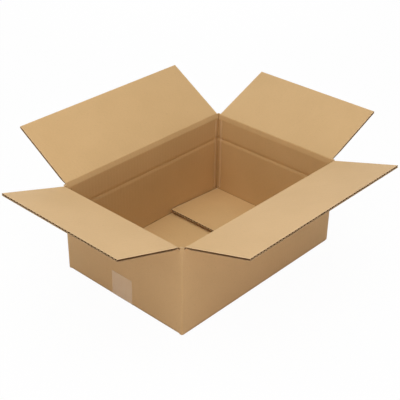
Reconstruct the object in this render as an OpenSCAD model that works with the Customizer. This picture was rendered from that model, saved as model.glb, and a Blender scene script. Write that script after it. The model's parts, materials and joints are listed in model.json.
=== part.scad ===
// Open regular slotted carton of single-wall corrugated board, standing on its taped bottom.
// X runs along the long walls, Y along the short walls, and the origin is under the middle of the bottom.

/* [Box] */
// Inside length, along the long walls
inside_length = 400; // [300:1:520]
// Inside width, along the short walls
inside_width = 280; // [220:1:380]
// Height of the short flaps' folds above the surface that the box stands on
fold_height = 173.5; // [120:0.5:260]
// Inner radius of the upright corner folds
corner_crease_radius = 0.8; // [0.4:0.1:2]

/* [Board] */
// Thickness of the corrugated board
board = 4; // [3.2:0.1:5]
// Thickness of each flat liner
liner = 0.35; // [0.2:0.05:0.5]
// Thickness of the wavy medium between the liners
medium = 0.3; // [0.2:0.05:0.4]
// Spacing of the flutes
flute_pitch = 7.5; // [6:0.1:9]
// Width of the glued line where a flute's crest meets a liner
glue_line = 1.3; // [0.8:0.1:2]

/* [Top flaps] */
// Distance from the outer corner to the side edge of a long flap
long_flap_inset = 5.5; // [4:0.5:10]
// Distance from the outer corner to the side edge of a short flap
short_flap_inset = 6; // [5:0.5:12]
// Length of a short flap from its fold to its free edge
short_flap_length = 139; // [90:0.5:180]
// Gap between the long flaps' edges when they are closed
seam_gap = 1; // [0.4:0.1:4]
// Height that the corner posts stand above the short flaps' folds, between the flaps
corner_rise = 4; // [0.5:0.5:6]
// How far the front flap leans out from upright
front_open = 73; // [0:0.5:140]
// How far the back flap leans out from upright
back_open = 59; // [0:0.5:140]
// How far the left flap leans out from upright
left_open = 72.5; // [0:0.5:145]
// How far the right flap leans out from upright
right_open = 67; // [0:0.5:145]

/* [Top creases] */
// Depth of the long flaps' fold line below the outer face of the board
long_fold_depth = 2.8; // [2:0.1:3]
// Depth of the short flaps' fold line below the outer face of the board
short_fold_depth = 0.7; // [0.7:0.1:1]
// Radius of the crushed bead along each fold line
fold_bead = 0.55; // [0.4:0.05:0.6]
// Clearance between a flap and its fold, and between closed flaps that lie on each other
fold_clearance = 0.3; // [0.2:0.05:0.5]
// Outward swing from upright that a long flap's crease leaves room for
long_swing = 146; // [142:1:150]
// Outward swing from upright that a short flap's crease leaves room for
short_swing = 160; // [152:1:164]
// Inward swing from upright that every crease leaves room for
inward_swing = 94; // [92:1:100]
// Plain length of wall or flap beside a crease before the flutes or corners begin
crease_margin = 1.5; // [1:0.5:4]

/* [Crease line round the inside] */
// Height of the crease line above the surface that the box stands on
score_height = 123; // [60:1:150]
// Width of the crease line
score_width = 3; // [1.5:0.5:5]
// Depth of the crease line
score_depth = 0.6; // [0.3:0.1:1.2]

/* [Bottom] */
// How far the right short bottom flap springs up from the long ones
right_lift = 2.6; // [0:0.1:5]
// How far the left short bottom flap springs up from the long ones
left_lift = 1.5; // [0:0.1:5]

/* [Glue tab] */
// Width of the tab glued inside the left wall
tab_width = 35; // [25:1:50]
// Distance that the tab is cut back from the folds above and below it
tab_setback = 10; // [8:1:20]
// Rise of the tab's slanted ends
tab_taper = 8; // [4:1:15]

/* [Tape] */
// Width of the packing tape
tape_width = 50; // [38:1:75]
// Thickness of the packing tape
tape_thickness = 0.15; // [0.1:0.05:0.3]
// Height that the tape reaches up each short wall
tape_rise = 55; // [35:1:80]

/* [Hidden] */
$fn = 48;

outer_length = inside_length + 2 * board;
outer_width = inside_width + 2 * board;
corner_radius = corner_crease_radius + board;

// Layers of the bottom: under the long flaps, between long and short flaps, on top of the short flaps
long_bottom = tape_thickness;
short_bottom = long_bottom + board;
wall_foot = short_bottom + board;

// The long folds sit higher by the layer that the short flaps take up when all four are closed
layer_step = board - long_fold_depth + short_fold_depth + fold_clearance;
short_axis_height = fold_height;
long_axis_height = fold_height + layer_step;

long_flap_width = outer_length - 2 * long_flap_inset;
short_flap_width = outer_width - 2 * short_flap_inset;
long_flap_length = outer_width / 2 - long_fold_depth - seam_gap / 2;
bottom_flap_reach = outer_width / 2 - seam_gap / 2;

// Heights of the two slopes of a crushed crease, outside and inside
function outer_slope(depth, swing) = depth / tan((180 - swing) / 2);
function inner_slope(depth) = (board - depth) / tan((180 - inward_swing) / 2);
function slope_height(depth, swing) = max(outer_slope(depth, swing), inner_slope(depth));

long_slope = slope_height(long_fold_depth, long_swing);
short_slope = slope_height(short_fold_depth, short_swing);
wall_top = min(long_axis_height - long_slope, short_axis_height - short_slope) - crease_margin;

// Wave of the medium: surface facing the lower liner, at distance x from a crest
wave_height = (board - 2 * liner - medium) / 2;
flute_steps = 8;
function wave_slope(x) = wave_height * 2 * PI / flute_pitch * sin(360 * x / flute_pitch);
function under_wave(x) = board / 2 + wave_height * cos(360 * x / flute_pitch)
    - medium / 2 * sqrt(1 + pow(wave_slope(x), 2));

// Outline of the channel under one crest, standing on the lower liner
channel_half = (flute_pitch - glue_line) / 2;
channel = concat(
    [[channel_half, liner], [-channel_half, liner]],
    [for (i = [1 : flute_steps - 1])
        let (x = channel_half * (2 * i / flute_steps - 1))
        [x, under_wave(x)]]
);
function channel_at(x, flip) = [for (p = channel) [x + p[0], flip ? board - p[1] : p[1]]];

// Middles of the channels across a flap, half a pitch apart, by turns on the lower and the upper liner
function channel_count(width) = 2 * floor((width - flute_pitch) / flute_pitch) - 1;
function channel_x(width, i) = (i - (channel_count(width) - 1) / 2) * flute_pitch / 2;

// Places its children on one wall, drawn as a front wall whose outer face is the plane y = 0
module on_wall(turn, reach) {
    rotate([0, 0, turn])
        translate([0, -reach, 0])
            children();
}

module on_front() { on_wall(0, outer_width / 2) children(); }
module on_right() { on_wall(90, outer_length / 2) children(); }
module on_back() { on_wall(180, outer_width / 2) children(); }
module on_left() { on_wall(270, outer_length / 2) children(); }

// Extrudes a profile drawn in y and z along the wall
module along_wall(span) {
    rotate([90, 0, 90])
        linear_extrude(span, center = true)
            children();
}

module rounded_rectangle(length, width, radius) {
    square([length - 2 * radius, width], center = true);
    square([length, width - 2 * radius], center = true);
    for (sx = [-1, 1], sy = [-1, 1])
        translate([sx * (length / 2 - radius), sy * (width / 2 - radius)])
            circle(radius);
}

// The four walls in plan, joined round their creased corners
module wall_plan() {
    difference() {
        rounded_rectangle(outer_length, outer_width, corner_radius);
        rounded_rectangle(inside_length, inside_width, corner_crease_radius);
    }
}

// The posts of wall left standing at the corners, this far from the slots' sides
module corner_plan(clearance) {
    stub_x = long_flap_inset - clearance;
    stub_y = short_flap_inset - clearance;
    intersection() {
        wall_plan();
        for (sx = [-1, 1], sy = [-1, 1])
            translate([sx * (outer_length - stub_x) / 2, sy * (outer_width - stub_y) / 2])
                square([stub_x, stub_y], center = true);
    }
}

// Top of a wall, crushed to a bead along the fold
module wall_crease(depth, swing, axis_height, span) {
    along_wall(span) {
        polygon([
            [0, wall_top],
            [0, axis_height - outer_slope(depth, swing)],
            [depth, axis_height],
            [board, axis_height - inner_slope(depth)],
            [board, wall_top]
        ]);
        translate([depth, axis_height])
            circle(fold_bead);
    }
}

// Quarter round of board on the outside of a bottom fold
module bottom_bend(foot) {
    translate([board, foot])
        intersection() {
            circle(board);
            translate([-board, -board])
                square(board);
        }
}

// Long bottom flap with the foot of its wall
module long_bottom_side() {
    along_wall(long_flap_width) {
        translate([0, short_bottom])
            square(board);
        bottom_bend(short_bottom);
        translate([board, long_bottom])
            square([bottom_flap_reach - board, board]);
    }
}

// Short bottom flap, which lies on the long ones and springs up a little
module short_bottom_side(lift) {
    along_wall(short_flap_width) {
        bottom_bend(wall_foot);
        translate([board, short_bottom])
            rotate(lift)
                square([bottom_flap_reach - board, board]);
    }
}

// Shallow crease pressed into the board's inner face, which lies at the depth called face
module score(from, to, face) {
    past_face = score_depth;
    half = score_width / 2 * (score_depth + past_face) / score_depth;
    translate([(from + to) / 2, 0, 0])
        along_wall(to - from)
            polygon([
                [face - score_depth, score_height],
                [face + past_face, score_height - half],
                [face + past_face, score_height + half]
            ]);
}

// The crease line goes all round, and crosses the glue tab in place of the wall behind it
module scores() {
    half_length = inside_length / 2;
    half_width = inside_width / 2;
    tab_edge = tab_width - half_width;
    on_front() score(-half_length, half_length, board);
    on_right() score(-half_width, half_width, board);
    on_back() score(-half_length, half_length - board, board);
    on_left() score(-half_width, tab_edge, 2 * board);
    on_left() score(tab_edge, half_width, board);
}

// Tab that continues the back wall round its corner, glued inside the left wall
module glue_tab() {
    root = -inside_width / 2;
    low = wall_foot + tab_setback;
    high = fold_height - tab_setback;
    translate([0, 2 * board, 0])
        rotate([90, 0, 0])
            linear_extrude(board)
                polygon([
                    [root, low],
                    [root + tab_width, low + tab_taper],
                    [root + tab_width, high - tab_taper],
                    [root, high]
                ]);
}

module walls() {
    translate([0, 0, wall_foot])
        linear_extrude(wall_top - wall_foot)
            wall_plan();
    translate([0, 0, short_bottom])
        linear_extrude(board)
            corner_plan(0);
    translate([0, 0, wall_top])
        linear_extrude(fold_height - wall_top)
            corner_plan(0);
    translate([0, 0, fold_height])
        linear_extrude(corner_rise)
            corner_plan(fold_clearance);
}

module carton() {
    color("burlywood") {
        difference() {
            union() {
                walls();
                on_left() glue_tab();
            }
            scores();
        }
        on_front() long_bottom_side();
        on_back() long_bottom_side();
        on_left() short_bottom_side(left_lift);
        on_right() short_bottom_side(right_lift);
        on_front() wall_crease(long_fold_depth, long_swing, long_axis_height, long_flap_width);
        on_back() wall_crease(long_fold_depth, long_swing, long_axis_height, long_flap_width);
        on_left() wall_crease(short_fold_depth, short_swing, short_axis_height, short_flap_width);
        on_right() wall_crease(short_fold_depth, short_swing, short_axis_height, short_flap_width);
    }
}

// Cut edge of the board: a rectangle pierced by every channel
module fluted_section(width) {
    edge = [[-width / 2, 0], [width / 2, 0], [width / 2, board], [-width / 2, board]];
    count = channel_count(width);
    points = concat(edge, [for (i = [0 : count - 1]) each channel_at(channel_x(width, i), i % 2 == 1)]);
    size = len(channel);
    holes = [for (i = [0 : count - 1]) [for (k = [0 : size - 1]) len(edge) + i * size + k]];
    polygon(points, concat([[0, 1, 2, 3]], holes));
}

// A top flap standing upright on its wall, then leaned out about its fold line
module flap(depth, swing, axis_height, width, length, open) {
    root = slope_height(depth, swing) + crease_margin;
    translate([0, depth, axis_height])
        rotate([open, 0, 0])
            translate([0, -depth, 0]) {
                along_wall(width)
                    difference() {
                        polygon([
                            [depth, 0],
                            [board, inner_slope(depth)],
                            [board, root],
                            [0, root],
                            [0, outer_slope(depth, swing)]
                        ]);
                        translate([depth, 0])
                            circle(fold_bead + fold_clearance);
                    }
                translate([0, 0, root])
                    linear_extrude(length - root)
                        fluted_section(width);
            }
}

module long_flap(open) {
    color("tan")
        flap(long_fold_depth, long_swing, long_axis_height, long_flap_width, long_flap_length, open);
}

module short_flap(open) {
    color("tan")
        flap(short_fold_depth, short_swing, short_axis_height, short_flap_width, short_flap_length, open);
}

module front_flap() { on_front() long_flap(front_open); }
module back_flap() { on_back() long_flap(back_open); }
module left_flap() { on_left() short_flap(left_open); }
module right_flap() { on_right() short_flap(right_open); }

// Strip of tape along the bottom seam, pulled tight over the short walls' folds and up both ends
module bottom_tape() {
    bend_x = outer_length / 2 - board;
    edge_x = outer_length / 2 - long_flap_inset;
    drop = [edge_x - bend_x, long_bottom - wall_foot];
    tangent = atan2(drop[1], drop[0]) + acos(board / norm(drop));
    steps = 8;
    outer_radius = board + tape_thickness;
    slack = 1 / cos(tangent / steps / 2);
    run = (wall_foot + outer_radius * sin(tangent)) / cos(tangent);
    turn_x = bend_x + outer_radius * cos(tangent) + run * sin(tangent);
    function bend(radius) = [for (i = [0 : steps])
        let (a = tangent * i / steps)
        [bend_x + radius * slack * cos(a), wall_foot + radius * slack * sin(a)]];
    function flipped(points) = [for (p = points) [-p[0], p[1]]];
    function reversed(points) = [for (i = [len(points) - 1 : -1 : 0]) points[i]];
    inner = concat([[outer_length / 2, tape_rise]], bend(board), [[edge_x, long_bottom]]);
    outer = concat([[outer_length / 2 + tape_thickness, tape_rise]], bend(outer_radius), [[turn_x, 0]]);
    color("wheat")
        rotate([90, 0, 0])
            linear_extrude(tape_width, center = true)
                polygon(concat(outer, reversed(flipped(outer)), flipped(inner), reversed(inner)));
}

carton();
front_flap();
back_flap();
left_flap();
right_flap();
bottom_tape();
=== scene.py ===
import json
import math
import bmesh
import bpy
import numpy as np
from mathutils import Matrix, Vector


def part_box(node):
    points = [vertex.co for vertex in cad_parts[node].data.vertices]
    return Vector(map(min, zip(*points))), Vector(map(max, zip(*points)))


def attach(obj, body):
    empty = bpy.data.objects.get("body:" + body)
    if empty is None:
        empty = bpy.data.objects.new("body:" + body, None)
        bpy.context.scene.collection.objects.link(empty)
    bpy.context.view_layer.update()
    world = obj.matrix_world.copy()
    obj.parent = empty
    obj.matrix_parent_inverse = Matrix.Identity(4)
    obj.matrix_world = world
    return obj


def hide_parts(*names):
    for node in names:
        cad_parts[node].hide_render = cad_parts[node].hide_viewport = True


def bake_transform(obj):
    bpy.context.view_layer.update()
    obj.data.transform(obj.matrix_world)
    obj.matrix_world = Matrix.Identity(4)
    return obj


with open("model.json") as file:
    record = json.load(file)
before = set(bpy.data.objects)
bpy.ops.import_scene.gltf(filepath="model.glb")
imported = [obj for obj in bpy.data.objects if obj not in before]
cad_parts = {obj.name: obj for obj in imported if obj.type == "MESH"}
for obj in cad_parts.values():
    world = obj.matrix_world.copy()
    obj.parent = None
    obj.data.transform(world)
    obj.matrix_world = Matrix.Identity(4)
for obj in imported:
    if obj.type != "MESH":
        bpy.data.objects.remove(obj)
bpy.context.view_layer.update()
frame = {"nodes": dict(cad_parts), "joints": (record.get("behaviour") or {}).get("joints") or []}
mm = 0.001
upward = np.array((0, 0, 1.0))
print("frame loaded:", sorted(frame["nodes"]))


# Shared helpers

# Linear colour from an sRGB hex value
def linear(hexColour):
    channels = [int(hexColour[i:i + 2], 16) / 255 for i in (1, 3, 5)]
    return (*[c / 12.92 if c <= 0.04045 else ((c + 0.055) / 1.055) ** 2.4 for c in channels], 1.0)


def addNode(tree, kind, inputs=None, **settings):
    node = tree.nodes.new(kind)
    for name, value in settings.items():
        setattr(node, name, value)
    for key, value in (inputs or {}).items():
        if isinstance(value, bpy.types.NodeSocket):
            tree.links.new(value, node.inputs[key])
        else:
            node.inputs[key].default_value = value
    return node


def newMaterial(name):
    material = bpy.data.materials.new(name)
    material.use_nodes = True
    material.node_tree.nodes.clear()
    return material, material.node_tree


def smoothstep(t):
    t = np.clip(t, 0, 1)
    return t * t * (3 - 2 * t)


# Materials

mixA, mixB, mixResult = 6, 7, 2  # the colour sockets of a Mix node

linerLook = {
    "colour": "#D2AD77",
    "cloudColour": "#CDA872",
    "rubbedColour": "#DEBF93",
    "speckColour": "#9A7042",
    # dark brown of the painted shade in the corners, crease grooves and bottom folds
    "paintedShadeColour": "#7D5830",
    "cloudMm": 110,
    "fibreMm": (5.0, 0.9),  # long across the flutes, as the paper web ran
    "speckMm": 2.6,
    "flutePitchMm": 7.5,
    "washboardMm": 0.045,
    "fibreReliefMm": 0.03,
    "fibreTone": (0.955, 1.035),
    "speckShare": 0.3,
    "roughness": (0.56, 0.72),
    "sheen": 0.18,
}


# Unbleached kraft liner, machine finished: cloudy brown, short fibres, faint washboard over the flutes
def kraftLiner(look):
    material, tree = newMaterial("kraftLiner")
    place = addNode(tree, "ShaderNodeTexCoord").outputs["Object"]
    blank = addNode(tree, "ShaderNodeAttribute", attribute_name="blank").outputs["Vector"]
    wearAndShade = addNode(tree, "ShaderNodeAttribute", attribute_name="wearAndShade").outputs["Fac"]
    cloud = addNode(tree, "ShaderNodeTexNoise", {
        "Vector": place, "Scale": 1 / (look["cloudMm"] * mm), "Detail": 4.0, "Roughness": 0.6})
    stretch = addNode(tree, "ShaderNodeMapping", {
        "Vector": blank, "Scale": (1 / (look["fibreMm"][0] * mm), 1 / (look["fibreMm"][1] * mm), 1)})
    fibre = addNode(tree, "ShaderNodeTexNoise", {
        "Vector": stretch.outputs["Vector"], "Scale": 1.0, "Detail": 3.0, "Roughness": 0.55})
    speck = addNode(tree, "ShaderNodeTexNoise", {
        "Vector": place, "Scale": 1 / (look["speckMm"] * mm), "Detail": 2.0})
    waveScale = 2 * math.pi / (20 * look["flutePitchMm"] * mm)  # the wave node runs 20 radians a unit
    flute = addNode(tree, "ShaderNodeTexWave", {"Vector": blank, "Scale": waveScale}, bands_direction="X")
    cloudShare = addNode(tree, "ShaderNodeMapRange", {
        "Value": cloud.outputs["Fac"], "From Min": 0.35, "From Max": 0.68})
    speckShare = addNode(tree, "ShaderNodeMapRange", {
        "Value": speck.outputs["Fac"], "From Min": 0.66, "From Max": 0.78, "To Max": look["speckShare"]})
    fibreShare = addNode(tree, "ShaderNodeMapRange", {
        "Value": fibre.outputs["Fac"], "From Min": 0.3, "From Max": 0.7,
        "To Min": look["fibreTone"][0], "To Max": look["fibreTone"][1]})
    clouded = addNode(tree, "ShaderNodeMix", {
        "Factor": cloudShare.outputs["Result"], mixA: linear(look["colour"]),
        mixB: linear(look["cloudColour"])}, data_type="RGBA")
    specked = addNode(tree, "ShaderNodeMix", {
        "Factor": speckShare.outputs["Result"], mixA: clouded.outputs[mixResult],
        mixB: linear(look["speckColour"])}, data_type="RGBA")
    rubbed = addNode(tree, "ShaderNodeMix", {
        "Factor": wearAndShade, mixA: specked.outputs[mixResult],
        mixB: linear(look["rubbedColour"])}, data_type="RGBA")
    # Below 0 the wear value is painted shade: the liner is mixed darker there
    paintedShadeShare = addNode(tree, "ShaderNodeMapRange", {"Value": wearAndShade, "From Min": 0.0, "From Max": -1.0})
    paintedShadeMixed = addNode(tree, "ShaderNodeMix", {
        "Factor": paintedShadeShare.outputs["Result"], mixA: rubbed.outputs[mixResult],
        mixB: linear(look["paintedShadeColour"])}, data_type="RGBA")
    toned = addNode(tree, "ShaderNodeVectorMath", {
        0: paintedShadeMixed.outputs[mixResult], "Scale": fibreShare.outputs["Result"]}, operation="SCALE")
    washboard = addNode(tree, "ShaderNodeBump", {
        "Height": flute.outputs["Fac"], "Strength": 1.0, "Distance": look["washboardMm"] * mm})
    grain = addNode(tree, "ShaderNodeBump", {
        "Height": fibre.outputs["Fac"], "Strength": 1.0, "Distance": look["fibreReliefMm"] * mm,
        "Normal": washboard.outputs["Normal"]})
    rough = addNode(tree, "ShaderNodeMapRange", {
        "Value": fibre.outputs["Fac"], "To Min": look["roughness"][0], "To Max": look["roughness"][1]})
    shader = addNode(tree, "ShaderNodeBsdfPrincipled", {
        "Base Color": toned.outputs["Vector"], "Roughness": rough.outputs["Result"],
        "Specular IOR Level": 0.5, "Sheen Weight": look["sheen"], "Sheen Roughness": 0.4,
        "Normal": grain.outputs["Normal"]})
    addNode(tree, "ShaderNodeOutputMaterial", {"Surface": shader.outputs["BSDF"]})
    return material


edgeLook = {"colour": "#E6CBA2", "fluffColour": "#B98F5B", "fluffMm": 0.9, "fluffReliefMm": 0.05,
            "roughness": 0.9}


# Kraft liner's knife-cut edge: paler and fluffier than its face
def cutLinerEdge(look):
    material, tree = newMaterial("cutLinerEdge")
    place = addNode(tree, "ShaderNodeTexCoord").outputs["Object"]
    fluff = addNode(tree, "ShaderNodeTexNoise", {
        "Vector": place, "Scale": 1 / (look["fluffMm"] * mm), "Detail": 3.0})
    tone = addNode(tree, "ShaderNodeMix", {
        "Factor": fluff.outputs["Fac"], mixA: linear(look["colour"]), mixB: linear(look["fluffColour"])},
        data_type="RGBA")
    relief = addNode(tree, "ShaderNodeBump", {
        "Height": fluff.outputs["Fac"], "Strength": 0.6, "Distance": look["fluffReliefMm"] * mm})
    shader = addNode(tree, "ShaderNodeBsdfPrincipled", {
        "Base Color": tone.outputs[mixResult], "Roughness": look["roughness"],
        "Specular IOR Level": 0.15, "Normal": relief.outputs["Normal"]})
    addNode(tree, "ShaderNodeOutputMaterial", {"Surface": shader.outputs["BSDF"]})
    return material


mediumLook = {"colour": "#7A5632", "darkColour": "#583C1E", "fleckMm": 3.5, "fleckReliefMm": 0.04,
              "roughness": 0.92}


# Recycled fluting paper: duller, darker and rougher than the liners
def flutingPaper(look):
    material, tree = newMaterial("flutingPaper")
    place = addNode(tree, "ShaderNodeTexCoord").outputs["Object"]
    fleck = addNode(tree, "ShaderNodeTexNoise", {
        "Vector": place, "Scale": 1 / (look["fleckMm"] * mm), "Detail": 4.0})
    tone = addNode(tree, "ShaderNodeMix", {
        "Factor": fleck.outputs["Fac"], mixA: linear(look["colour"]), mixB: linear(look["darkColour"])},
        data_type="RGBA")
    relief = addNode(tree, "ShaderNodeBump", {
        "Height": fleck.outputs["Fac"], "Strength": 0.5, "Distance": look["fleckReliefMm"] * mm})
    shader = addNode(tree, "ShaderNodeBsdfPrincipled", {
        "Base Color": tone.outputs[mixResult], "Roughness": look["roughness"],
        "Specular IOR Level": 0.15, "Normal": relief.outputs["Normal"]})
    addNode(tree, "ShaderNodeOutputMaterial", {"Surface": shader.outputs["BSDF"]})
    return material


filmLook = {"colour": "#FDD8A4", "streakColour": "#FFE8BC", "streakMm": (60.0, 3.0), "streakReliefMm": 0.05,
            "alpha": 0.5, "roughness": 0.3}


# Polypropylene packing tape: clear film with a pale haze, a sheen and draw streaks along the strip
def polypropyleneFilm(look):
    material, tree = newMaterial("polypropyleneFilm")
    blank = addNode(tree, "ShaderNodeAttribute", attribute_name="blank").outputs["Vector"]
    stretch = addNode(tree, "ShaderNodeMapping", {
        "Vector": blank, "Scale": (1 / (look["streakMm"][1] * mm), 1 / (look["streakMm"][0] * mm), 1)})
    streak = addNode(tree, "ShaderNodeTexNoise", {
        "Vector": stretch.outputs["Vector"], "Scale": 1.0, "Detail": 3.0})
    tone = addNode(tree, "ShaderNodeMix", {
        "Factor": streak.outputs["Fac"], mixA: linear(look["colour"]), mixB: linear(look["streakColour"])},
        data_type="RGBA")
    relief = addNode(tree, "ShaderNodeBump", {
        "Height": streak.outputs["Fac"], "Strength": 0.5, "Distance": look["streakReliefMm"] * mm})
    shader = addNode(tree, "ShaderNodeBsdfPrincipled", {
        "Base Color": tone.outputs[mixResult], "Roughness": look["roughness"], "IOR": 1.49,
        "Specular IOR Level": 1.0, "Coat Weight": 0.6, "Coat Roughness": 0.2, "Alpha": look["alpha"],
        "Normal": relief.outputs["Normal"]})
    addNode(tree, "ShaderNodeOutputMaterial", {"Surface": shader.outputs["BSDF"]})
    return material


glueLook = {"colour": "#EFE3CF", "alpha": 0.03, "roughness": 0.4}


# Acrylic glue on the tape's back: all but clear, so that the haze is the film's own
def acrylicGlue(look):
    material, tree = newMaterial("acrylicGlue")
    shader = addNode(tree, "ShaderNodeBsdfPrincipled", {
        "Base Color": linear(look["colour"]), "Roughness": look["roughness"], "Alpha": look["alpha"]})
    addNode(tree, "ShaderNodeOutputMaterial", {"Surface": shader.outputs["BSDF"]})
    return material


boardMaterials = [kraftLiner(linerLook), cutLinerEdge(edgeLook), flutingPaper(mediumLook)]
face, cutEdge, medium = range(len(boardMaterials))
tapeMaterials = [polypropyleneFilm(filmLook), acrylicGlue(glueLook)]
film, glue = range(len(tapeMaterials))
print("materials made:", len(bpy.data.materials))


# Mesh store: points, faces and what each carries, gathered for one piece
# Blank is a point's place on the flat sheet, and wear is above 0 where rubbed, below 0 where it is painted
# shade

meshSettings = {"mergeDistance": 0.0005 * mm, "sharpAngle": 25}


def newStore():
    return {"points": [], "faces": [], "materials": [], "blank": [], "wearAndShade": []}


def addMesh(store, points, faces, materials, blank, wearAndShade):
    first = len(store["points"])
    store["points"] += [tuple(p) for p in points]
    store["faces"] += [[first + i for i in f] for f in faces]
    store["materials"] += list(materials)
    store["blank"] += [tuple(b) for b in blank]
    store["wearAndShade"] += list(wearAndShade)


def makePiece(name, store, materials):
    mesh = bpy.data.meshes.new(name)
    mesh.from_pydata(store["points"], [], store["faces"])
    mesh.polygons.foreach_set("material_index", store["materials"])
    blank = mesh.attributes.new("blank", "FLOAT_VECTOR", "POINT")
    blank.data.foreach_set("vector", np.array(store["blank"], np.float32).ravel())
    wearAndShade = mesh.attributes.new("wearAndShade", "FLOAT", "POINT")
    wearAndShade.data.foreach_set("value", np.array(store["wearAndShade"], np.float32))
    work = bmesh.new()
    work.from_mesh(mesh)
    bmesh.ops.remove_doubles(work, verts=work.verts, dist=meshSettings["mergeDistance"])
    bmesh.ops.dissolve_degenerate(work, edges=work.edges, dist=meshSettings["mergeDistance"])
    bmesh.ops.recalc_face_normals(work, faces=work.faces)
    work.to_mesh(mesh)
    work.free()
    for material in materials:
        mesh.materials.append(material)
    mesh.polygons.foreach_set("use_smooth", [True] * len(mesh.polygons))
    mesh.set_sharp_from_angle(angle=math.radians(meshSettings["sharpAngle"]))
    piece = bpy.data.objects.new(name, mesh)
    bpy.context.scene.collection.objects.link(piece)
    print("piece", name, len(mesh.polygons), "faces")
    return piece


# Closed slab over a grid of across and along values, between two depths
def addSlab(store, place, across, along, depths, materials, wearAndShadeAt):
    columns, rows = len(across), len(along)
    gridA, gridS = (g.ravel() for g in np.meshgrid(across, along, indexing="ij"))
    points = np.concatenate([place(gridA, gridS, np.full(gridA.size, d)) for d in depths])
    size = columns * rows
    cell = [(i * rows + k, (i + 1) * rows + k, (i + 1) * rows + k + 1, i * rows + k + 1)
            for i in range(columns - 1) for k in range(rows - 1)]
    rim = [(i * rows + k, (i + 1) * rows + k) for k in (0, rows - 1) for i in range(columns - 1)]
    rim += [(i * rows + k, i * rows + k + 1) for i in (0, columns - 1) for k in range(rows - 1)]
    faces = cell + [[size + v for v in c] for c in cell]
    faces += [(a, b, size + b, size + a) for a, b in rim]
    kinds = [materials[0]] * len(cell) + [materials[1]] * len(cell) + [materials[2]] * len(rim)
    blank = np.stack([gridA, gridS, np.zeros(gridA.size)], axis=1)
    addMesh(store, points, faces, kinds, np.tile(blank, (2, 1)), np.tile(wearAndShadeAt(gridA, gridS), 2))


# Corrugated board, bent along a path

boardSettings = {
    "thickness": 4.0 * mm,
    "liner": 0.4 * mm,
    "medium": 0.8 * mm,  # over twice the real paper's, so that it shows at the cut edges
    "pitch": linerLook["flutePitchMm"] * mm,
    "stepsPerFlute": 10,
    "sheetMerge": 0.001 * mm,
    "columnStep": 30 * mm,
    "edgeRub": 2.0 * mm,
    "edgeWear": 0.6,
}
board = boardSettings["thickness"]


# Wavy sheet as a node tree: a grid lifted to a wave, then given its thickness
def fluteTree(material, mergeDistance):
    tree = bpy.data.node_groups.new("flutedSheet", "GeometryNodeTree")
    for name, kind in (("Width", "Float"), ("Length", "Float"), ("Pitch", "Float"), ("Wave height", "Float"),
                       ("Thickness", "Float"), ("Columns", "Int"), ("Rows", "Int")):
        tree.interface.new_socket(name, in_out="INPUT", socket_type="NodeSocket" + kind)
    tree.interface.new_socket("Sheet", in_out="OUTPUT", socket_type="NodeSocketGeometry")
    sizes = addNode(tree, "NodeGroupInput").outputs
    grid = addNode(tree, "GeometryNodeMeshGrid", {
        "Size X": sizes["Width"], "Size Y": sizes["Length"], "Vertices X": sizes["Columns"],
        "Vertices Y": sizes["Rows"]})
    position = addNode(tree, "GeometryNodeInputPosition")
    where = addNode(tree, "ShaderNodeSeparateXYZ", {0: position.outputs[0]})
    turns = addNode(tree, "ShaderNodeMath", {0: where.outputs["X"], 1: sizes["Pitch"]}, operation="DIVIDE")
    angle = addNode(tree, "ShaderNodeMath", {0: turns.outputs[0], 1: 2 * math.pi}, operation="MULTIPLY")
    wave = addNode(tree, "ShaderNodeMath", {0: angle.outputs[0]}, operation="COSINE")
    lift = addNode(tree, "ShaderNodeMath", {0: wave.outputs[0], 1: sizes["Wave height"]},
                   operation="MULTIPLY")
    offset = addNode(tree, "ShaderNodeCombineXYZ", {"Z": lift.outputs[0]})
    waved = addNode(tree, "GeometryNodeSetPosition", {
        "Geometry": grid.outputs["Mesh"], "Offset": offset.outputs[0]})
    raised = addNode(tree, "GeometryNodeExtrudeMesh", {
        "Mesh": waved.outputs[0], "Offset Scale": sizes["Thickness"], "Individual": False})
    under = addNode(tree, "GeometryNodeFlipFaces", {"Mesh": waved.outputs[0]})
    both = addNode(tree, "GeometryNodeJoinGeometry", {"Geometry": raised.outputs["Mesh"]})
    tree.links.new(under.outputs[0], both.inputs["Geometry"])
    merged = addNode(tree, "GeometryNodeMergeByDistance", {
        "Geometry": both.outputs[0], "Distance": mergeDistance})
    real = addNode(tree, "GeometryNodeRealizeInstances", {"Geometry": merged.outputs[0]})
    painted = addNode(tree, "GeometryNodeSetMaterial", {"Geometry": real.outputs[0], "Material": material})
    addNode(tree, "NodeGroupOutput", {"Sheet": painted.outputs[0]})
    return tree


flutedSheet = fluteTree(boardMaterials[medium], boardSettings["sheetMerge"])


def flatFlutes(width, length, rows, sheet):
    wave = (sheet["thickness"] - 2 * sheet["liner"] - sheet["medium"]) / 2
    values = {"Width": width, "Length": length, "Pitch": sheet["pitch"], "Wave height": wave,
              "Thickness": sheet["medium"], "Columns": int(width / sheet["pitch"] * sheet["stepsPerFlute"]),
              "Rows": rows}
    carrier = bpy.data.objects.new("fluteCarrier", bpy.data.meshes.new("fluteCarrier"))
    bpy.context.scene.collection.objects.link(carrier)
    modifier = carrier.modifiers.new("flutes", "NODES")
    modifier.node_group = flutedSheet
    for item in flutedSheet.interface.items_tree:
        if item.in_out == "INPUT":
            modifier[item.identifier] = values[item.name]
    made = bpy.data.meshes.new_from_object(carrier.evaluated_get(bpy.context.evaluated_depsgraph_get()))
    carrier.modifiers.remove(modifier)
    bpy.data.objects.remove(carrier)
    points = np.array([v.co for v in made.vertices])
    faces = [list(p.vertices) for p in made.polygons]
    bpy.data.meshes.remove(made)
    return points, faces


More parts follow.
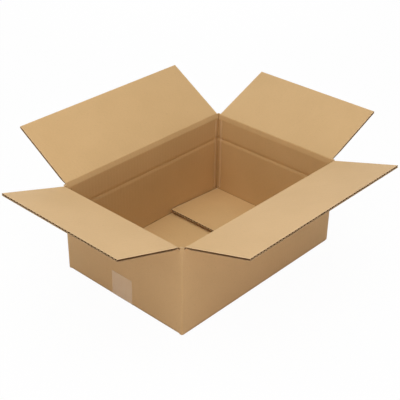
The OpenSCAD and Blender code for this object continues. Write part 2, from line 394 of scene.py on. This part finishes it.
# Follows a board's inner face: heading 0 is up, and heading 90 is outward from the wall
def tracePath(start, heading, moves):
    rows = []
    at = np.array(start, float)
    turned = math.radians(heading)
    along = 0.0

    def right(angle):
        return np.array([math.cos(angle), -math.sin(angle)])

    def note(dent):
        rows.append((along, *at, *right(turned), dent))

    note(0)
    for move in moves:
        if move["kind"] == "run":
            begin, base = at.copy(), along
            for share in move["stops"]:
                along = base + share * move["length"]
                at = begin + np.array([math.sin(turned), math.cos(turned)]) * share * move["length"]
                note(0)
        else:
            angle, base = turned, along
            sweep = math.radians(move["angle"])
            centre = at + move["radius"] * right(angle)
            steps = move["steps"]
            for step in range(1, steps + 1):
                turned = angle + sweep * step / steps
                along = base + move["radius"] * abs(sweep) * step / steps
                at = centre - move["radius"] * right(turned)
                note(move["dent"] * math.sin(math.pi * step / steps) ** 2)
    names = ("along", "out", "up", "normalOut", "normalUp", "dent")
    path = dict(zip(names, np.array(rows).T))
    path["crush"] = np.zeros(len(rows))
    return path


# Places board coordinates on one wall: across it, along the path, and in from the inner face
# The outer face lies to the right of the path where outerSide is 1, to the left where it is -1
def placer(wall, path, outerSide):
    def place(across, along, depth):
        def look(key):
            return np.interp(along, path["along"], path[key])
        share = depth / board
        inward = depth - look("crush") * share + look("dent") * (1 - share)
        out = wall["reach"] + look("out") + outerSide * look("normalOut") * inward
        up = look("up") + outerSide * look("normalUp") * inward
        return np.outer(across, wall["across"]) + np.outer(out, wall["outward"]) + np.outer(up, upward)
    return place


noPaintedShade = ((0, 1), (0, 0))


# Two liners and the medium between them, as wide as the wall's flap
# Painted shade on the inner and the outer face: places along the path, and its share at each
def foldedBoard(store, wall, path, outerSide, innerPaintedShade=noPaintedShade, outerPaintedShade=noPaintedShade):
    sheet = boardSettings
    place = placer(wall, path, outerSide)
    along = path["along"]
    half = wall["flapHalf"]
    step, rub = sheet["columnStep"], sheet["edgeRub"]
    middle = np.arange(-half + step, half - step / 2, step)
    across = np.concatenate([[-half, -half + rub], middle, [half - rub, half]])

    def boardWearAndShade(a, s, paintedShade):
        sideWear = smoothstep(1 - (half - np.abs(a)) / rub)
        endWear = smoothstep(1 - (along[-1] - s) / rub)
        # edges rubbed paler, less the painted shade along the path
        return np.maximum(sideWear, endWear) * sheet["edgeWear"] - np.interp(s, *paintedShade)

    innerDepths = (0, sheet["liner"])
    outerDepths = (board - sheet["liner"], board)
    for depths, paintedShade in ((innerDepths, innerPaintedShade), (outerDepths, outerPaintedShade)):
        addSlab(store, place, across, along, depths, (face, face, cutEdge),
                lambda a, s: boardWearAndShade(a, s, paintedShade))
    length = along[-1] - along[0]
    points, faces = flatFlutes(2 * half, length, len(along), sheet)
    even = np.linspace(0, length, len(along))
    rowAlong = np.interp(points[:, 1] + length / 2, even, along)
    depth = points[:, 2] + (board - sheet["medium"]) / 2
    blank = np.stack([points[:, 0], rowAlong, np.zeros(len(points))], axis=1)
    atEnd = np.isclose(rowAlong, along[-1])
    kinds = [cutEdge if atEnd[f].all() else medium for f in faces]
    addMesh(store, place(points[:, 0], rowAlong, depth), faces, kinds, blank, np.zeros(len(points)))


# Walls of the carton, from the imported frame

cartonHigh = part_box("carton")[1]
halfLength, halfWidth = float(cartonHigh[0]), float(cartonHigh[1])
joints = {j["name"]: j for j in frame["joints"]}


def makeWall(side, outward, across, reach, halfSpan):
    joint = joints[side + "_flap_fold"]
    axis = np.array(joint["pos_m"])
    outward, across = np.array(outward, float), np.array(across, float)
    opened = math.radians(-90 - joint["range_deg"][0])  # from upright: at its minimum the flap lies flat
    lean = outward * math.sin(opened) + upward * math.cos(opened)
    points = np.array([v.co for v in frame["nodes"][side + "_flap"].data.vertices])
    return {"side": side, "outward": outward, "across": across, "reach": reach, "halfSpan": halfSpan,
            "axis": axis, "foldDepth": reach - float(axis @ outward), "opened": opened, "lean": lean,
            "flapLength": float(((points - axis) @ lean).max()),
            "flapHalf": float((points @ across).max())}


walls = {
    "front": makeWall("front", (0, -1, 0), (1, 0, 0), halfWidth, halfLength),
    "right": makeWall("right", (1, 0, 0), (0, 1, 0), halfLength, halfWidth),
    "back": makeWall("back", (0, 1, 0), (-1, 0, 0), halfWidth, halfLength),
    "left": makeWall("left", (-1, 0, 0), (0, -1, 0), halfLength, halfWidth),
}
for wall in walls.values():
    lengths = [round(wall[key] / mm, 2) for key in ("foldDepth", "flapLength", "flapHalf")]
    print("wall", wall["side"], lengths, round(math.degrees(wall["opened"]), 1))


# Wall ring: four walls round their creased corners, between the bottom folds and the top folds

ringSettings = {
    "top": 166 * mm,
    "bottom": 10 * mm,
    "postTop": float(cartonHigh[2]),
    "postBottom": 3.6 * mm,
    "plainHeightsMm": (30, 55, 80, 105, 140, 155),
    "wallStep": 24 * mm,
    "outerRadius": 2.4 * mm,
    "innerRadius": 1.2 * mm,
    "recess": 1.6 * mm,  # of the crushed board in the corner
    "cornerSteps": 6,
    # painted shade round the corners, stronger in the inner corner
    "cornerPaintedShade": {"outer": 0.14, "inner": 0.3},
    "creases": (  # mm from the inner corner, mm of dent, wear: below 0 is painted shade in the groove
        (11.4, 0.0, 0.0), (10.0, 1.1, -0.25), (8.8, 0.0, 0.6), (5.4, -0.1, 0.8), (4.4, 1.6, -0.1)),
    "scoreHeight": 123 * mm,
    "scoreProfile": (  # mm above the score line, mm of dent
        (-9.0, 0.0), (-6.0, -0.1), (-3.5, 0.15), (-0.8, 1.0),
        (0.4, 1.25), (3.0, 0.55), (5.5, 0.1), (8.0, 0.0)),
}


def scoreLine(ring):
    ups, dents = np.array(ring["scoreProfile"]).T * mm
    return ring["scoreHeight"] + ups, dents


# Upright columns of points round the ring, in order
def ringColumns(ring):
    columns = []

    def note(outer, inner, normal, across, post, outerWearAndShade, innerWearAndShade):
        columns.append({"outer": outer, "inner": inner, "normal": normal, "across": across, "post": post,
                        "wearAndShade": {"outer": outerWearAndShade, "inner": innerWearAndShade}})

    def noteFlat(wall, across, dent=0, post=False, wearAndShade=0):
        outer = wall["outward"] * wall["reach"] + wall["across"] * across
        inner = outer - wall["outward"] * (board - dent)
        note(outer, inner, wall["outward"], across, post, 0, wearAndShade)

    def noteCreases(wall, end, creases):
        for place, dent, wearAndShade in creases:
            noteFlat(wall, end * (wall["halfSpan"] - board - place * mm), dent * mm, wearAndShade=wearAndShade)

    def noteCorner(wall):
        out, go = wall["outward"], wall["across"]
        corner = out * wall["reach"] + go * wall["halfSpan"]
        outerCentre = corner - (out + go) * ring["outerRadius"]
        innerCentre = corner - (out + go) * (board + ring["innerRadius"] - ring["recess"])
        for angle in np.linspace(0, math.pi / 2, ring["cornerSteps"] + 1):
            normal = out * math.cos(angle) + go * math.sin(angle)
            across = wall["halfSpan"] - ring["outerRadius"] * (1 - angle)
            # painted shade, darkest midway round the corner
            outerWearAndShade, innerWearAndShade = (-ring["cornerPaintedShade"][k] * math.sin(2 * angle) for k in ("outer", "inner"))
            note(outerCentre + normal * ring["outerRadius"], innerCentre + normal * ring["innerRadius"],
                 normal, across, True, outerWearAndShade, innerWearAndShade)

    order = list(walls.values())
    for wall, following in zip(order, order[1:] + order[:1]):
        reach = wall["halfSpan"] - board - ring["creases"][0][0] * mm
        count = int(2 * reach / ring["wallStep"])
        for across in np.linspace(-reach, reach, count + 1)[1:-1]:
            noteFlat(wall, across)
        noteCreases(wall, 1, ring["creases"])
        for post in (False, True):
            noteFlat(wall, wall["flapHalf"], ring["recess"], post)
        noteCorner(wall)
        for post in (True, False):
            noteFlat(following, -following["flapHalf"], ring["recess"], post)
        noteCreases(following, -1, ring["creases"][::-1])
    return columns


def wallRing(store, ring):
    columns = ringColumns(ring)
    scoreUps, scoreDents = scoreLine(ring)
    plainUps = np.array(ring["plainHeightsMm"]) * mm
    ups = sorted([ring["bottom"], ring["top"], *plainUps, *scoreUps])
    count = len(ups) + 2
    points, blank, wearAndShade = [], [], []
    for column in columns:
        ends = ("postBottom", "postTop") if column["post"] else ("bottom", "top")
        heights = [ring[ends[0]], *ups, ring[ends[1]]]
        for layer in ("outer", "inner"):
            for up in heights:
                dent = np.interp(up, scoreUps, scoreDents) if layer == "inner" else 0
                points.append(column[layer] + column["normal"] * dent + upward * up)
                blank.append((column["across"], up, 0))
                wearAndShade.append(column["wearAndShade"][layer])
    faces, kinds = [], []
    total = len(columns)
    for i in range(total):
        a, b = 2 * count * i, 2 * count * ((i + 1) % total)
        for shift in (0, count):
            for k in range(count - 1):
                faces.append((a + shift + k, b + shift + k, b + shift + k + 1, a + shift + k + 1))
                kinds.append(face)
        for k in (0, count - 1):
            faces.append((a + k, b + k, b + count + k, a + count + k))
            kinds.append(cutEdge)
    addMesh(store, points, faces, kinds, blank, wearAndShade)


# Bottom flaps: two long ones that meet, and two short ones that spring up over them

bottomSettings = {
    "foldRadius": 0.3 * mm,
    "foldDent": 1.0 * mm,
    "foldSteps": 8,
    "seamGap": 1 * mm,
    "dropStops": (0.3, 0.8, 1.0),
    "stops": (0.003, 0.02, 0.2, 0.5, 0.8, 0.985, 1.0),
    # height of the outer face at the fold, where the short flaps are crushed into the long ones' ends
    "under": {"front": 0.15 * mm, "back": 0.15 * mm, "left": 2.15 * mm, "right": 2.15 * mm},
    "lift": {"front": 0, "back": 0, "left": 2.3, "right": 3.4},  # degrees of springing up
    "innerPaintedShade": (0.5, 0.4 * mm),  # painted shade in the fold's groove: share, and spread to both sides of the fold
    # painted shade along the outer bottom fold, where the floor shades it: share, and spread
    "outerPaintedShade": (0.4, 2.5 * mm),
}


def bottomFlap(store, wall, bottom):
    radius = bottom["foldRadius"]
    turn = 90 + bottom["lift"][wall["side"]]
    drop = ringSettings["bottom"] - bottom["under"][wall["side"]] - board - radius
    reach = halfWidth - bottom["seamGap"] / 2 - board - radius
    path = tracePath((-board, ringSettings["bottom"]), 180, [
        {"kind": "run", "length": drop, "stops": bottom["dropStops"]},
        {"kind": "turn", "radius": radius, "angle": turn, "steps": bottom["foldSteps"],
         "dent": bottom["foldDent"]},
        {"kind": "run", "length": reach, "stops": bottom["stops"]},
    ])
    bent = drop + radius * math.radians(turn)

    # painted shade: full share over the fold, fading out over the spread to both sides
    def paintedShadeAt(share, spread):
        return (drop - spread, drop, bent, bent + spread), (0, share, share, 0)

    foldedBoard(store, wall, path, -1, paintedShadeAt(*bottom["innerPaintedShade"]), paintedShadeAt(*bottom["outerPaintedShade"]))


# Glue tab inside the left wall, carried round from the back wall

tabSettings = {
    "width": 35 * mm,
    "low": 18.15 * mm,
    "high": 163.5 * mm,
    "taper": 8 * mm,
    "glueGap": 0.02 * mm,
    "plainHeightsMm": (50, 90, 145),
    "columnsMm": (10, 25),
    "edgeRub": 2 * mm,
    "edgeWear": 0.4,
}


def glueTab(store, tab):
    wall = walls["left"]
    root = walls["back"]["reach"] - board
    scoreUps, scoreDents = scoreLine(ringSettings)
    plainUps = np.array(tab["plainHeightsMm"]) * mm
    ups = np.array(sorted([tab["low"], tab["high"], *plainUps, *scoreUps]))
    middle = (tab["high"] + tab["low"]) / 2
    halfHeight = (tab["high"] - tab["low"]) / 2

    def place(inward, along, depth):
        squeeze = 1 - inward / tab["width"] * tab["taper"] / halfHeight
        atEnd = np.isclose(along, tab["low"]) | np.isclose(along, tab["high"])
        up = np.where(atEnd, middle + (along - middle) * squeeze, along)
        dent = np.interp(along, scoreUps, scoreDents) * (depth > board / 2)
        out = wall["reach"] - board - depth + dent
        across = inward - root
        return np.outer(across, wall["across"]) + np.outer(out, wall["outward"]) + np.outer(up, upward)

    rubFrom = tab["width"] - tab["edgeRub"]
    across = np.array([0, tab["edgeRub"], *np.array(tab["columnsMm"]) * mm, rubFrom, tab["width"]])
    addSlab(store, place, across, ups, (tab["glueGap"], board), (face, face, cutEdge),
            lambda a, s: tab["edgeWear"] * smoothstep((a - rubFrom) / tab["edgeRub"]))


carton = newStore()
wallRing(carton, ringSettings)
for side in ("front", "back", "left", "right"):
    bottomFlap(carton, walls[side], bottomSettings)
glueTab(carton, tabSettings)
cartonBody = makePiece("cartonBody", carton, boardMaterials)
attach(cartonBody, "box")
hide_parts("carton")
print("carton body in place")


# Top flaps: each board rises from its wall, bends over two score lines and runs to its open edge

flapSettings = {
    "band": 9.3 * mm,  # between the two score lines
    # share of the fold that is made at the lower score line
    "lowerShare": {"front": 0.5, "back": 0.38, "left": 0.5, "right": 0.2},
    "lowerRadius": 3.0 * mm,
    "upperRadius": 1.6 * mm,
    "turnSteps": 6,
    "lowerDent": 0.1 * mm,
    "upperDent": 0.5 * mm,
    "crush": 2.0 * mm,  # of the outer face towards the inner one
    # length over which it fades: on the right flap, the closed long flaps need the room
    "crushReach": {"front": 12 * mm, "back": 12 * mm, "left": 12 * mm, "right": 30 * mm},
    "standStops": (1.0,),
    "bandStops": (0.5, 1.0),
    "stops": (0.02, 0.085, 0.2, 0.45, 0.7, 0.985, 1.0),
    "blendBefore": 4 * mm,
    "blendAfter": 7 * mm,
}


def topFlap(wall, flap):
    store = newStore()
    side, opened = wall["side"], wall["opened"]
    inDepth = board - wall["foldDepth"]
    rise = inDepth * math.tan(opened / 2)  # from the fold line to where the inner faces would meet
    lower = opened * flap["lowerShare"][side]
    upper = opened - lower
    below = flap["band"] * math.sin(upper) / math.sin(opened)
    beyond = flap["band"] * math.sin(lower) / math.sin(opened)
    lowerTangent = flap["lowerRadius"] * math.tan(lower / 2)
    upperTangent = flap["upperRadius"] * math.tan(upper / 2)
    stand = wall["axis"][2] + rise - below - lowerTangent - ringSettings["top"]
    path = tracePath((-board, ringSettings["top"]), 0, [
        {"kind": "run", "length": stand, "stops": flap["standStops"]},
        {"kind": "turn", "radius": flap["lowerRadius"], "angle": math.degrees(lower),
         "steps": flap["turnSteps"], "dent": flap["lowerDent"]},
        {"kind": "run", "length": flap["band"] - lowerTangent - upperTangent, "stops": flap["bandStops"]},
        {"kind": "turn", "radius": flap["upperRadius"], "angle": math.degrees(upper),
         "steps": flap["turnSteps"], "dent": flap["upperDent"]},
        {"kind": "run", "length": wall["flapLength"] + rise - beyond - upperTangent,
         "stops": flap["stops"]},
    ])
    along = path["along"]
    bentOver = along[-1 - len(flap["stops"])]
    crushPlaces = (0, along[1], bentOver, bentOver + flap["crushReach"][side])
    path["crush"] = np.interp(along, crushPlaces, (0, flap["crush"] / 2, flap["crush"], 0))
    foldedBoard(store, wall, path, 1)
    piece = makePiece(side + "FlapBoard", store, boardMaterials)
    axis = Vector(wall["axis"])
    node = side + "_flap"
    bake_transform(piece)
    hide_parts(node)


for wall in walls.values():
    topFlap(wall, flapSettings)
print("top flaps in place")


# Packing tape: one strip under the seam and up both short walls, torn on a toothed edge

tapeSettings = {
    "width": 50 * mm,
    "thickness": 0.12 * mm,
    "lift": 0.03 * mm,
    "rise": 55 * mm,
    "bendSteps": 6,
    "toothPitch": 1.25 * mm,
    "toothDepth": 0.6 * mm,
    "toothRoot": 2 * mm,  # from the torn end to the next row of points
}


def tapeStrip(tape):
    store = newStore()
    edge = walls["front"]["flapHalf"]
    bendX = halfLength - board
    under = bottomSettings["under"]["front"]
    foot = bottomSettings["under"]["left"] + board  # where the short walls begin to bend under
    drop = np.array((edge - bendX, under - foot))
    tangent = math.atan2(drop[1], drop[0]) + math.acos(board / np.linalg.norm(drop))
    bend = np.linspace(0, tangent, tape["bendSteps"] + 1)
    right = [(halfLength, tape["rise"]), (halfLength, tape["rise"] - tape["toothRoot"])]
    right += [(bendX + board * math.cos(a), foot + board * math.sin(a)) for a in bend]
    right += [(edge, under)]
    points = np.array([(-x, z) for x, z in right] + right[::-1])
    steps = np.diff(points, axis=0)
    normals = np.stack([steps[:, 1], -steps[:, 0]], axis=1) / np.linalg.norm(steps, axis=1)[:, None]
    joined = np.concatenate([normals[:1], (normals[:-1] + normals[1:]) / 2, normals[-1:]])
    joined /= np.linalg.norm(joined, axis=1)[:, None]
    along = np.concatenate([[0], np.cumsum(np.linalg.norm(steps, axis=1))])

    def place(across, s, depth):
        x, z = (np.interp(s, along, points[:, k]) for k in (0, 1))
        outX, outZ = (np.interp(s, along, joined[:, k]) for k in (0, 1))
        tooth = np.abs((across / tape["toothPitch"]) % 2 - 1) * tape["toothDepth"]
        atEnd = np.isclose(s, 0) | np.isclose(s, along[-1])
        return np.stack([x + outX * depth, across, z + outZ * depth - np.where(atEnd, tooth, 0)], axis=1)

    teeth = int(tape["width"] / tape["toothPitch"])
    across = np.linspace(-tape["width"] / 2, tape["width"] / 2, teeth + 1)
    depths = (tape["lift"], tape["thickness"])
    addSlab(store, place, across, along, depths, (glue, film, film), lambda a, s: np.zeros(a.size))
    piece = makePiece("packingTape", store, tapeMaterials)
    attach(piece, "box")
    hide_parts("bottom_tape")


tapeStrip(tapeSettings)
print("tape in place")


# Stage: pale floor and soft studio light

stageSettings = {
    "floorSize": 8.0,
    "floorDrop": 0.2 * mm,
    "floorColour": "#EDEBE8",
    "shadowShare": 0.03,
    "domeStrength": 0.03,
    "boxes": {  # watts, size, place and colour of each softbox
        "overhead": (13.5, 2.0, (0, 0, 1.9), "#FFFFFF"),
        "upperLeft": (8, 2.0, (-0.9, -0.2, 1.75), "#FFFFFF"),
        "closeLeft": (5, 1.2, (-0.35, -0.2, 1.25), "#FFFFFF"),
        "farRear": (8.5, 1.5, (1.2, 1.2, 0.9), "#FFFFFF"),
        "lowLeft": (10, 1.0, (-1.9, -0.2, 0.2), "#FFF3F5"),
        "lowFront": (13, 1.0, (-0.3, -1.9, 0.2), "#FFF3F5"),
        "lowRear": (5, 1.0, (1.4, 1.4, 0.12), "#FFF3F5"),
    },
    "aim": (0, 0, 0.1),
}
white = (1, 1, 1, 1)


# 1 for the rays that show the background: from the camera, off a gloss or through the film
def seenRays(tree):
    rays = addNode(tree, "ShaderNodeLightPath").outputs
    direct = addNode(tree, "ShaderNodeMath", {
        0: rays["Is Camera Ray"], 1: rays["Is Glossy Ray"]}, operation="MAXIMUM")
    seen = addNode(tree, "ShaderNodeMath", {
        0: direct.outputs[0], 1: rays["Is Transmission Ray"]}, operation="MAXIMUM")
    return seen.outputs[0]


def paleFloor(stage):
    material, tree = newMaterial("paleFloor")
    lit = addNode(tree, "ShaderNodeBsdfDiffuse", {"Color": linear(stage["floorColour"])})
    catcher = addNode(tree, "ShaderNodeBsdfDiffuse", {"Color": white})
    glow = addNode(tree, "ShaderNodeEmission", {"Color": white, "Strength": 1.0})
    shown = addNode(tree, "ShaderNodeMixShader", {
        0: stage["shadowShare"], 1: glow.outputs[0], 2: catcher.outputs[0]})
    both = addNode(tree, "ShaderNodeMixShader", {0: seenRays(tree), 1: lit.outputs[0], 2: shown.outputs[0]})
    addNode(tree, "ShaderNodeOutputMaterial", {"Surface": both.outputs[0]})
    half = stage["floorSize"] / 2
    corners = [(-half, -half, 0), (half, -half, 0), (half, half, 0), (-half, half, 0)]
    mesh = bpy.data.meshes.new("floor")
    mesh.from_pydata(corners, [], [range(len(corners))])
    mesh.materials.append(material)
    floor = bpy.data.objects.new("floor", mesh)
    floor.location.z = -stage["floorDrop"]
    bpy.context.scene.collection.objects.link(floor)


def studioLight(stage):
    world = bpy.data.worlds.new("studio")
    bpy.context.scene.world = world
    world.use_nodes = True
    tree = world.node_tree
    tree.nodes.clear()
    dome = addNode(tree, "ShaderNodeBackground", {"Color": white, "Strength": stage["domeStrength"]})
    shown = addNode(tree, "ShaderNodeBackground", {"Color": white, "Strength": 1.0})
    both = addNode(tree, "ShaderNodeMixShader", {0: seenRays(tree), 1: dome.outputs[0], 2: shown.outputs[0]})
    addNode(tree, "ShaderNodeOutputWorld", {"Surface": both.outputs[0]})
    for name, (watts, size, place, colour) in stage["boxes"].items():
        light = bpy.data.lights.new(name, "AREA")
        light.shape = "SQUARE"
        light.size = size
        light.energy = watts
        light.color = linear(colour)[:3]
        lamp = bpy.data.objects.new(name, light)
        lamp.location = place
        lamp.rotation_euler = (Vector(stage["aim"]) - lamp.location).to_track_quat("-Z", "Y").to_euler()
        bpy.context.scene.collection.objects.link(lamp)


paleFloor(stageSettings)
studioLight(stageSettings)
print("stage and light in place")


# Camera, at the photograph's viewing angle

cameraSettings = {
    "placeMm": (-1065.6, -962.6, 974.0),
    "azimuth": -46.79,
    "elevation": 31.644,
    "roll": 0.409,
    "imagePx": 400,
    "focalPx": 913.9,
    "centrePx": (186.8, 213.8),
    "sensorMm": 36,
}


def photoCamera(view):
    turn, tilt, roll = (math.radians(view[k]) for k in ("azimuth", "elevation", "roll"))
    right = Vector((math.cos(turn), math.sin(turn), 0))
    back = Vector((math.sin(turn) * math.cos(tilt), -math.cos(turn) * math.cos(tilt), math.sin(tilt)))
    up = back.cross(right)
    rolledRight = right * math.cos(roll) + up * math.sin(roll)
    rolledUp = up * math.cos(roll) - right * math.sin(roll)
    lens = bpy.data.cameras.new("photoCamera")
    lens.sensor_width = view["sensorMm"]
    lens.lens = view["focalPx"] * view["sensorMm"] / view["imagePx"]
    lens.shift_x = (view["imagePx"] / 2 - view["centrePx"][0]) / view["imagePx"]
    lens.shift_y = (view["centrePx"][1] - view["imagePx"] / 2) / view["imagePx"]
    camera = bpy.data.objects.new("photoCamera", lens)
    turned = Matrix((rolledRight, rolledUp, back)).transposed().to_4x4()
    camera.matrix_world = Matrix.Translation(Vector(view["placeMm"]) * mm) @ turned
    bpy.context.scene.collection.objects.link(camera)
    bpy.context.scene.camera = camera


photoCamera(cameraSettings)
bpy.context.scene.view_settings.view_transform = "Standard"
print("camera in place")

bpy.context.view_layer.update()
